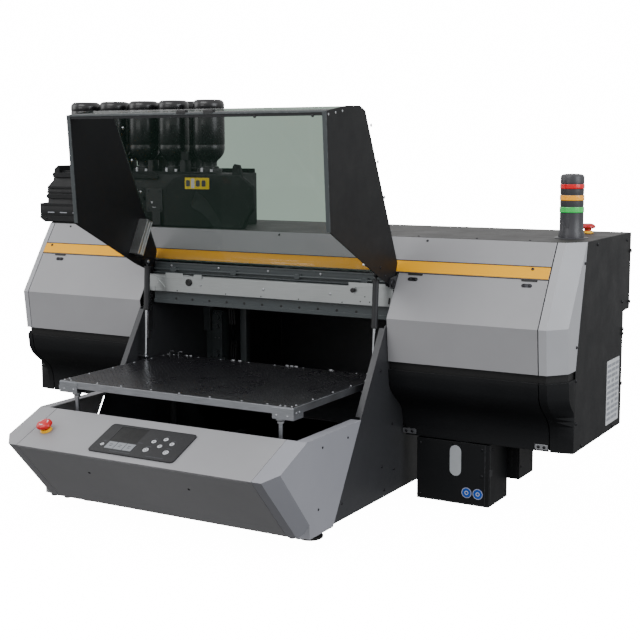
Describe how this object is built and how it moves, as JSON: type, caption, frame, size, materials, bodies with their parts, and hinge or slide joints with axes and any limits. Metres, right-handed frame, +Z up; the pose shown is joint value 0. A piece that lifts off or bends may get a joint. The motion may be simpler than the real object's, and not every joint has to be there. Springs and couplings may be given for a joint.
{
  "type": "flatbed uv printer",
  "caption": "Benchtop flatbed UV printer with a sliding, lifting table under a tilting clear hood, hinged wing doors, a keypad console, inverted ink bottles and a signal tower.",
  "frame": {"origin": "middle of the floor under the whole machine, on the plane its feet stand on", "axes": "+X to the operator's right, +Y away from the operator, +Z up"},
  "size_m": [1.725, 1.2898, 1.046],
  "materials": {
    "black_steel": "matt black powder coat",
    "grey_cover": "mid grey satin paint",
    "panel_black": "satin black membrane",
    "bare_aluminium": "satin aluminium",
    "black_cover": "fine textured black paint",
    "black_plastic": "black moulded plastic",
    "accent_yellow": "satin yellow paint",
    "table_black": "black anodised",
    "hood_glass": "tinted clear sheet",
    "stop_red": "gloss red plastic",
    "bright_steel": "ground steel rod",
    "tower_grey": "dark grey plastic with lamp bands",
    "key_grey": "light grey keys",
    "bottle_black": "black bottle plastic"
  },
  "bodies": {
    "machine": {"base_tub": "black_steel", "side_plate_left": "black_steel", "side_plate_right": "black_steel", "corner_cover_left": "grey_cover", "corner_cover_right": "grey_cover", "console_cover": "grey_cover", "front_lower_cover": "grey_cover", "panel_bezel": "panel_black", "gantry_beam": "bare_aluminium", "apron_bar": "bare_aluminium", "front_beam": "black_steel", "upper_front_cover": "grey_cover", "accent_stripe": "accent_yellow", "top_cover": "black_cover", "rear_cover": "black_cover", "end_cap_left": "grey_cover", "end_cap_right": "grey_cover", "side_panel_left": "black_cover", "side_panel_right": "black_cover", "wing_pan_left": "black_cover", "wing_pan_right": "black_cover", "waste_ink_box": "black_cover", "power_inlet": "black_plastic", "ink_rack": "black_plastic", "signal_tower": "tower_grey"},
    "table_carriage": {"table_carriage": "black_steel"},
    "table": {"table_frame": "bare_aluminium", "table_plate": "table_black"},
    "print_carriage": {"print_carriage": "black_plastic"},
    "hood": {"hood_side_left": "black_cover", "hood_side_right": "black_cover", "hood_front_bar": "black_cover", "hood_window": "hood_glass"},
    "door_left": {"door_left": "grey_cover"},
    "door_right": {"door_right": "grey_cover"},
    "stop_button_front": {"stop_button_front": "stop_red"},
    "stop_button_top": {"stop_button_top": "stop_red"},
    "strut_rod_left": {"strut_rod_left": "bright_steel"},
    "strut_tube_left": {"strut_tube_left": "black_steel"},
    "strut_rod_right": {"strut_rod_right": "bright_steel"},
    "strut_tube_right": {"strut_tube_right": "black_steel"},
    "power_key": {"power_key": "key_grey"},
    "function_key_1": {"function_key_1": "key_grey"},
    "function_key_2": {"function_key_2": "key_grey"},
    "function_key_3": {"function_key_3": "key_grey"},
    "left_arrow_key": {"left_arrow_key": "key_grey"},
    "right_arrow_key": {"right_arrow_key": "key_grey"},
    "up_arrow_key": {"up_arrow_key": "key_grey"},
    "down_arrow_key": {"down_arrow_key": "key_grey"},
    "enter_key": {"enter_key": "key_grey"},
    "stop_key": {"stop_key": "key_grey"},
    "ink_bottle_1": {"ink_bottle_1": "bottle_black"},
    "ink_bottle_2": {"ink_bottle_2": "bottle_black"},
    "ink_bottle_3": {"ink_bottle_3": "bottle_black"},
    "ink_bottle_4": {"ink_bottle_4": "bottle_black"},
    "ink_bottle_5": {"ink_bottle_5": "bottle_black"},
    "ink_bottle_6": {"ink_bottle_6": "bottle_black"},
    "ink_bottle_7": {"ink_bottle_7": "bottle_black"},
    "ink_bottle_8": {"ink_bottle_8": "bottle_black"}
  },
  "joints": [
    {"name": "hood_tilt", "type": "hinge", "parent": "machine", "child": "hood", "pos_m": [0.0255, -0.06115, 0.575], "axis": [1, 0, 0], "range_deg": [0, 85]},
    {"name": "table_slide", "type": "slide", "parent": "machine", "child": "table_carriage", "axis": [0, 1, 0], "range_m": [0, 0.65]},
    {"name": "table_lift", "type": "slide", "parent": "table_carriage", "child": "table", "axis": [0, 0, 1], "range_m": [0, 0.135]},
    {"name": "carriage_slide", "type": "slide", "parent": "machine", "child": "print_carriage", "axis": [-1, 0, 0], "range_m": [0, 1.28]},
    {"name": "door_left_swing", "type": "hinge", "parent": "machine", "child": "door_left", "pos_m": [-0.572, -0.02715, 0.5965], "axis": [-1, 0, 0], "range_deg": [0, 80]},
    {"name": "door_right_swing", "type": "hinge", "parent": "machine", "child": "door_right", "pos_m": [0.612, -0.02715, 0.5965], "axis": [-1, 0, 0], "range_deg": [0, 80]},
    {"name": "stop_front_press", "type": "slide", "parent": "machine", "child": "stop_button_front", "axis": [0, 0.3865, -0.9223], "range_m": [0, 0.004], "stiffness_N_per_m": 800},
    {"name": "stop_top_press", "type": "slide", "parent": "machine", "child": "stop_button_top", "axis": [0, 0, -1], "range_m": [0, 0.004], "stiffness_N_per_m": 800},
    {"name": "strut_left_pivot", "type": "hinge", "parent": "machine", "child": "strut_rod_left", "pos_m": [-0.3305, -0.11315, 0.336], "axis": [1, 0, 0], "range_deg": [-4, 1]},
    {"name": "strut_left_stroke", "type": "slide", "parent": "strut_rod_left", "child": "strut_tube_left", "axis": [0, 0.0645, 0.9979], "range_m": [-0.058, 0]},
    {"name": "strut_right_pivot", "type": "hinge", "parent": "machine", "child": "strut_rod_right", "pos_m": [0.3815, -0.11315, 0.336], "axis": [1, 0, 0], "range_deg": [-4, 1]},
    {"name": "strut_right_stroke", "type": "slide", "parent": "strut_rod_right", "child": "strut_tube_right", "axis": [0, 0.0645, 0.9979], "range_m": [-0.058, 0]},
    {"name": "power_key_press", "type": "slide", "parent": "machine", "child": "power_key", "axis": [0, 0.3865, -0.9223], "range_m": [0, 0.0007], "stiffness_N_per_m": 400},
    {"name": "function_key_1_press", "type": "slide", "parent": "machine", "child": "function_key_1", "axis": [0, 0.3865, -0.9223], "range_m": [0, 0.0007], "stiffness_N_per_m": 400},
    {"name": "function_key_2_press", "type": "slide", "parent": "machine", "child": "function_key_2", "axis": [0, 0.3865, -0.9223], "range_m": [0, 0.0007], "stiffness_N_per_m": 400},
    {"name": "function_key_3_press", "type": "slide", "parent": "machine", "child": "function_key_3", "axis": [0, 0.3865, -0.9223], "range_m": [0, 0.0007], "stiffness_N_per_m": 400},
    {"name": "left_arrow_key_press", "type": "slide", "parent": "machine", "child": "left_arrow_key", "axis": [0, 0.3865, -0.9223], "range_m": [0, 0.0007], "stiffness_N_per_m": 400},
    {"name": "right_arrow_key_press", "type": "slide", "parent": "machine", "child": "right_arrow_key", "axis": [0, 0.3865, -0.9223], "range_m": [0, 0.0007], "stiffness_N_per_m": 400},
    {"name": "up_arrow_key_press", "type": "slide", "parent": "machine", "child": "up_arrow_key", "axis": [0, 0.3865, -0.9223], "range_m": [0, 0.0007], "stiffness_N_per_m": 400},
    {"name": "down_arrow_key_press", "type": "slide", "parent": "machine", "child": "down_arrow_key", "axis": [0, 0.3865, -0.9223], "range_m": [0, 0.0007], "stiffness_N_per_m": 400},
    {"name": "enter_key_press", "type": "slide", "parent": "machine", "child": "enter_key", "axis": [0, 0.3865, -0.9223], "range_m": [0, 0.0007], "stiffness_N_per_m": 400},
    {"name": "stop_key_press", "type": "slide", "parent": "machine", "child": "stop_key", "axis": [0, 0.3865, -0.9223], "range_m": [0, 0.0007], "stiffness_N_per_m": 400},
    {"name": "ink_bottle_1_lift", "type": "slide", "parent": "machine", "child": "ink_bottle_1", "axis": [0, 0, 1], "range_m": [0, 0.12]},
    {"name": "ink_bottle_2_lift", "type": "slide", "parent": "machine", "child": "ink_bottle_2", "axis": [0, 0, 1], "range_m": [0, 0.12]},
    {"name": "ink_bottle_3_lift", "type": "slide", "parent": "machine", "child": "ink_bottle_3", "axis": [0, 0, 1], "range_m": [0, 0.12]},
    {"name": "ink_bottle_4_lift", "type": "slide", "parent": "machine", "child": "ink_bottle_4", "axis": [0, 0, 1], "range_m": [0, 0.12]},
    {"name": "ink_bottle_5_lift", "type": "slide", "parent": "machine", "child": "ink_bottle_5", "axis": [0, 0, 1], "range_m": [0, 0.12]},
    {"name": "ink_bottle_6_lift", "type": "slide", "parent": "machine", "child": "ink_bottle_6", "axis": [0, 0, 1], "range_m": [0, 0.12]},
    {"name": "ink_bottle_7_lift", "type": "slide", "parent": "machine", "child": "ink_bottle_7", "axis": [0, 0, 1], "range_m": [0, 0.12]},
    {"name": "ink_bottle_8_lift", "type": "slide", "parent": "machine", "child": "ink_bottle_8", "axis": [0, 0, 1], "range_m": [0, 0.12]}
  ],
  "couplings": [
    {"joint": "strut_left_pivot", "follows": "hood_tilt", "ratio": -0.03794},
    {"joint": "strut_left_stroke", "follows": "hood_tilt", "m_per_rad": -0.037619},
    {"joint": "strut_right_pivot", "follows": "hood_tilt", "ratio": -0.03794},
    {"joint": "strut_right_stroke", "follows": "hood_tilt", "m_per_rad": -0.037619}
  ]
}
